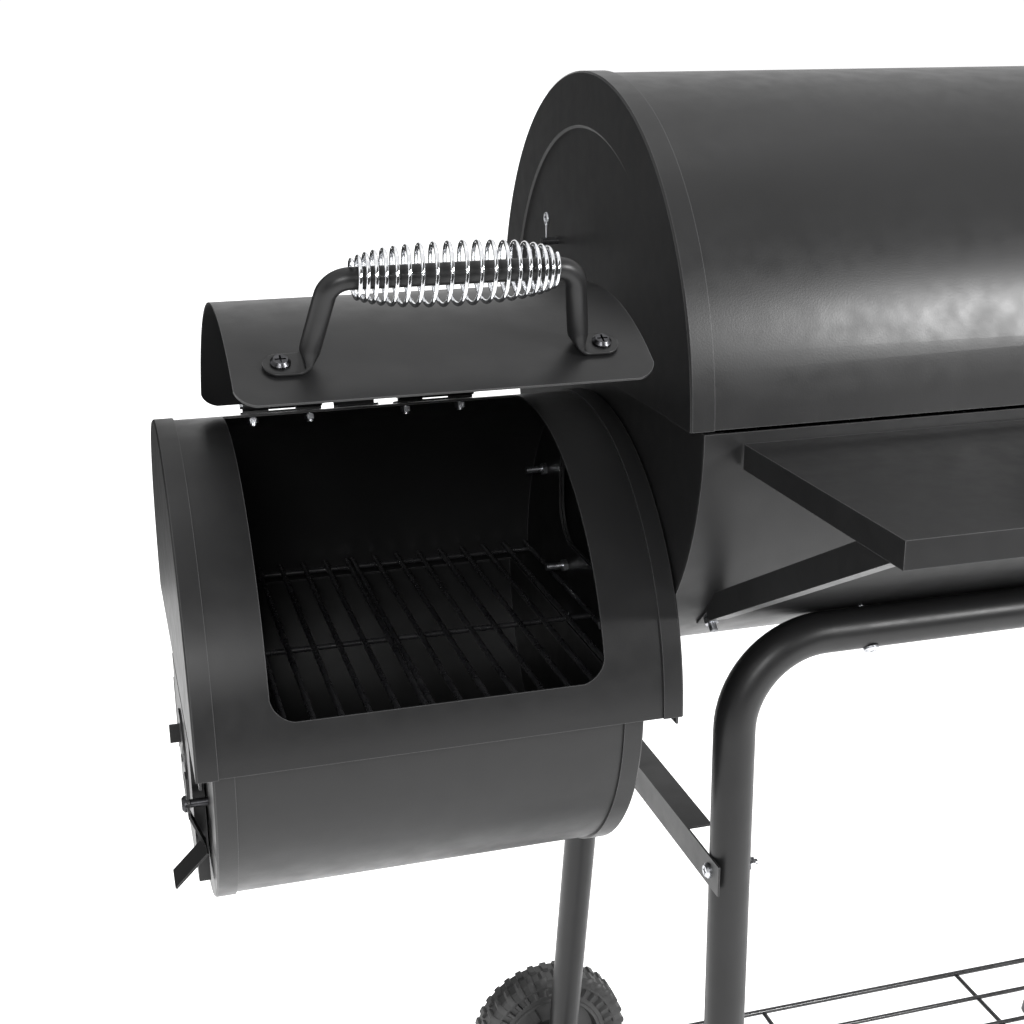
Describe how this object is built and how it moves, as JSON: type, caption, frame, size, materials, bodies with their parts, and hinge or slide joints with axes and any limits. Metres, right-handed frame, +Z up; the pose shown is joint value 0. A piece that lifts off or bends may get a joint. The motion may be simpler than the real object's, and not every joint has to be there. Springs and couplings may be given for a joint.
{
  "type": "offset smoker",
  "caption": "Barrel charcoal smoker with an offset firebox on its left end, coil-grip lids, front shelf, chimney, wire bottom shelf and two wheels.",
  "frame": {"origin": "centre of the bounding box, on the floor under the smoker", "axes": "+Z up, +X along the barrel away from the firebox, +Y to the rear (the lid handle is on the -Y side)"},
  "size_m": [1.209, 0.7642, 1.256],
  "materials": {
    "black_paint": "satin high-temperature paint",
    "black_enamel": "gloss enamel on wire",
    "black_screw": "satin black oxide",
    "chrome": "polished",
    "zinc": "bright zinc",
    "black_plastic": "moulded, matt",
    "dial_face": "printed white",
    "needle_red": "satin",
    "glass": "clear"
  },
  "bodies": {
    "stand": {"front_leg_frame": "black_paint", "rear_leg_frame": "black_paint", "left_brace": "black_paint", "right_brace": "black_paint", "frame_bolts": "zinc", "foot_caps": "black_plastic", "axle": "zinc", "axle_caps": "black_plastic", "wire_shelf": "black_enamel", "chamber_shell": "black_paint", "chamber_left_end": "black_paint", "chamber_right_end": "black_paint", "grate_ledges": "black_paint", "cooking_grate_left": "black_enamel", "cooking_grate_right": "black_enamel", "pan_guides": "black_paint", "chamber_hinge_leaves": "black_paint", "chamber_hinge_pins": "zinc", "chimney_pipe": "black_paint", "chimney_bolts": "zinc", "firebox_lower_shell": "black_paint", "firebox_lower_left_end": "black_paint", "firebox_lower_right_end": "black_paint", "firebox_upper_shell": "black_paint", "firebox_upper_left_end": "black_paint", "firebox_upper_right_end": "black_paint", "firebox_fixed_hinges": "black_paint", "firebox_hinge_pins": "zinc", "firebox_grate_left": "black_enamel", "firebox_grate_right": "black_enamel", "firebox_grate_ledges": "black_paint", "firebox_bolts": "zinc", "front_shelf": "black_paint", "shelf_brackets": "black_paint"},
    "lid": {"lid_hinge_leaves": "black_paint", "lid_shell": "black_paint", "lid_left_end": "black_paint", "lid_right_end": "black_paint", "lid_handle": "black_paint", "lid_handle_spring": "chrome", "lid_handle_screws": "black_screw", "thermometer_case": "chrome", "thermometer_dial": "dial_face", "thermometer_glass": "glass"},
    "needle": {"thermometer_needle": "needle_red"},
    "rack": {"warming_rack": "black_enamel", "rack_hitch_pins": "zinc"},
    "links": {"rack_links": "zinc"},
    "firebox_lid": {"firebox_lid": "black_paint", "firebox_lid_hinges": "black_paint", "firebox_handle": "black_paint", "firebox_handle_spring": "chrome", "firebox_handle_screws": "black_screw"},
    "chimney_cap": {"chimney_cap": "black_paint"},
    "charcoal_pan": {"charcoal_pan": "black_paint"},
    "front_wheel": {"front_wheel": "black_plastic"},
    "rear_wheel": {"rear_wheel": "black_plastic"},
    "side_door": {"side_door": "black_paint"},
    "door_latch": {"door_latch": "black_paint"},
    "air_shutter": {"air_shutter": "black_paint"}
  },
  "joints": [
    {"name": "lid_hinge", "type": "hinge", "parent": "stand", "child": "lid", "pos_m": [0.1165, 0.25938, 0.95], "axis": [-1, 0, 0], "range_deg": [0, 95]},
    {"name": "rack_swing", "type": "hinge", "parent": "lid", "child": "rack", "pos_m": [0.1165, 0.09838, 1.038], "axis": [-1, 0, 0], "range_deg": [-95, 0]},
    {"name": "link_swing", "type": "hinge", "parent": "stand", "child": "links", "pos_m": [0.1165, 0.07638, 0.925], "axis": [-1, 0, 0], "range_deg": [0, 95]},
    {"name": "needle_sweep", "type": "hinge", "parent": "lid", "child": "needle", "pos_m": [0.1165, -0.09914, 1.12218], "axis": [0, 0.6157, -0.788], "range_deg": [0, 270]},
    {"name": "firebox_lid_hinge", "type": "hinge", "parent": "stand", "child": "firebox_lid", "pos_m": [-0.4305, 0.07563, 0.92822], "axis": [-1, 0, 0], "range_deg": [-50, 35]},
    {"name": "chimney_cap_swivel", "type": "hinge", "parent": "stand", "child": "chimney_cap", "pos_m": [0.5595, 0.12538, 1.246], "axis": [0, 0, 1], "range_deg": [0, 100]},
    {"name": "pan_lift", "type": "slide", "parent": "stand", "child": "charcoal_pan", "axis": [0, 0, 1], "range_m": [0, 0.05]},
    {"name": "front_wheel_spin", "type": "hinge", "parent": "stand", "child": "front_wheel", "pos_m": [-0.1895, -0.16043, 0.088], "axis": [0, 1, 0], "continuous": true},
    {"name": "rear_wheel_spin", "type": "hinge", "parent": "stand", "child": "rear_wheel", "pos_m": [-0.1895, 0.35612, 0.088], "axis": [0, 1, 0], "continuous": true},
    {"name": "side_door_hinge", "type": "hinge", "parent": "stand", "child": "side_door", "pos_m": [-0.5825, 0.11558, 0.6648], "axis": [0, 0, -1], "range_deg": [0, 110]},
    {"name": "door_latch_turn", "type": "hinge", "parent": "stand", "child": "door_latch", "pos_m": [-0.5903, -0.07062, 0.6798], "axis": [-1, 0, 0], "range_deg": [0, 90]},
    {"name": "air_shutter_turn", "type": "hinge", "parent": "side_door", "child": "air_shutter", "pos_m": [-0.5875, 0.02538, 0.6678], "axis": [-1, 0, 0], "range_deg": [0, 60]}
  ],
  "couplings": [
    {"joint": "rack_swing", "follows": "lid_hinge", "ratio": -1},
    {"joint": "link_swing", "follows": "lid_hinge", "ratio": 1}
  ]
}
